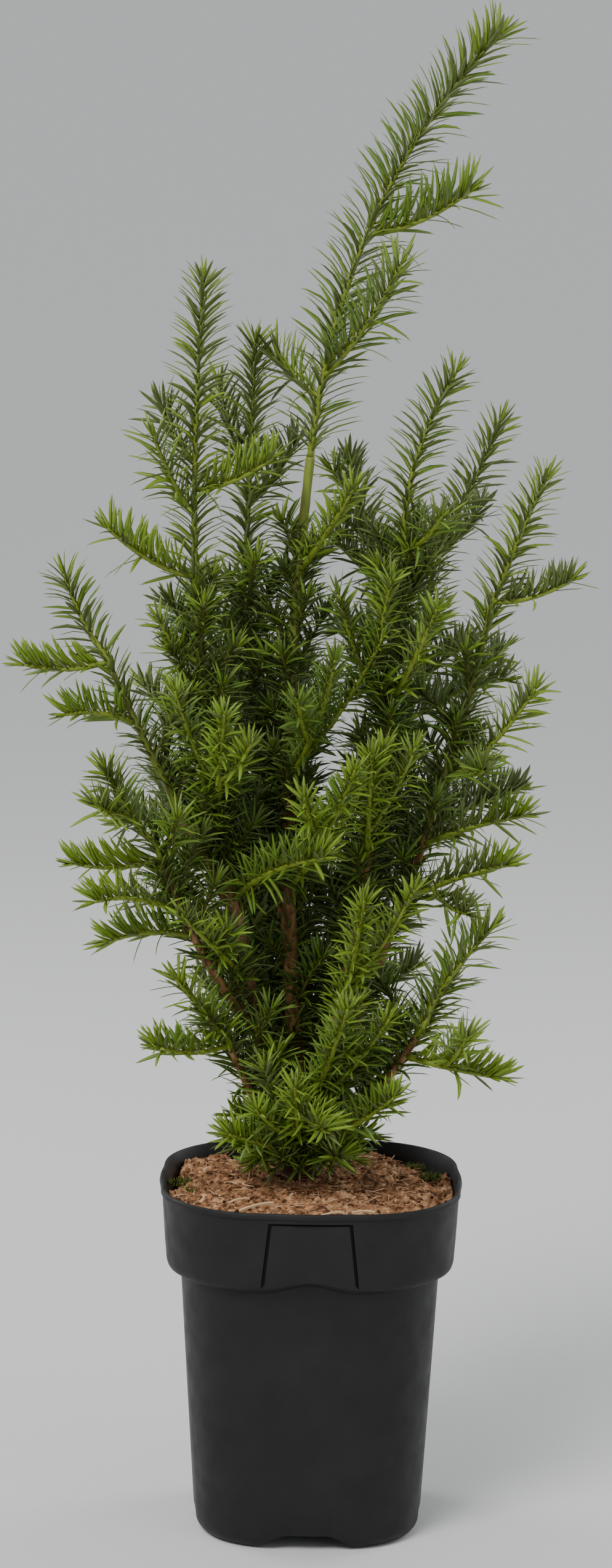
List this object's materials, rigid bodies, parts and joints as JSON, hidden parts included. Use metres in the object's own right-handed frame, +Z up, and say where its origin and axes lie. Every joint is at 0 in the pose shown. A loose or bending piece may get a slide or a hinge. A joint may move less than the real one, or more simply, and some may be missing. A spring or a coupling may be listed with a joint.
{
  "type": "potted yew tree",
  "caption": "Young upright yew with several thin stems and narrow needles, in a square black plastic nursery pot with a deep collar.",
  "frame": {"origin": "centre of the pot's flat underside", "axes": "+Z up through the plant, -Y towards the pot's front"},
  "size_m": [0.3269, 0.2523, 0.8216],
  "materials": {
    "pot_plastic": "charcoal black moulded plastic, matte, faintly streaked and dusty, paler on worn edges",
    "potting_soil": "loose coir and bark fibre mix, reddish brown with pale wood splinters",
    "bark": "thin scaly brown bark on old stems, smooth yellow-green on young ones",
    "needles": "soft flat needles, bright yellow-green when young, darker and olive inside the crown, satin"
  },
  "bodies": {
    "root": {"back_left_stem": "bark", "back_low_stem": "bark", "back_right_stem": "bark", "foliage_back_centre": "needles", "foliage_back_left_inner": "needles", "foliage_back_left_outer": "needles", "foliage_back_left_top": "needles", "foliage_back_low_centre": "needles", "foliage_back_low_left": "needles", "foliage_back_low_right": "needles", "foliage_back_right_inner": "needles", "foliage_back_right_outer": "needles", "foliage_back_right_top": "needles", "foliage_centre_front": "needles", "foliage_centre_high": "needles", "foliage_centre_upper": "needles", "foliage_inner_left": "needles", "foliage_leader": "needles", "foliage_left_bough_lower": "needles", "foliage_left_bough_tip": "needles", "foliage_left_front_fan": "needles", "foliage_left_front_low": "needles", "foliage_left_front_star": "needles", "foliage_left_leader": "needles", "foliage_left_low_outer": "needles", "foliage_left_low_tip": "needles", "foliage_left_low_under": "needles", "foliage_left_side_small": "needles", "foliage_low_front": "needles", "foliage_low_front_right": "needles", "foliage_low_front_upper": "needles", "foliage_low_left_foot": "needles", "foliage_low_left_tip": "needles", "foliage_low_right_rising": "needles", "foliage_low_right_spreading": "needles", "foliage_mid_leader": "needles", "foliage_right_back_leader": "needles", "foliage_right_front": "needles", "foliage_right_leader": "needles", "foliage_right_middle": "needles", "foliage_right_outer_leader": "needles", "foliage_right_side_lower": "needles", "foliage_right_side_middle": "needles", "foliage_right_side_rising": "needles", "foliage_right_upper_back": "needles", "foliage_right_upper_front": "needles", "foliage_right_upper_side": "needles", "left_bough": "bark", "left_low_stem": "bark", "left_stem": "bark", "low_left_stem": "bark", "low_right_stem": "bark", "main_stem": "bark", "mid_stem": "bark", "pot": "pot_plastic", "right_outer_stem": "bark", "right_stem": "bark", "soil": "potting_soil", "trunk": "bark"}
  },
  "joints": []
}
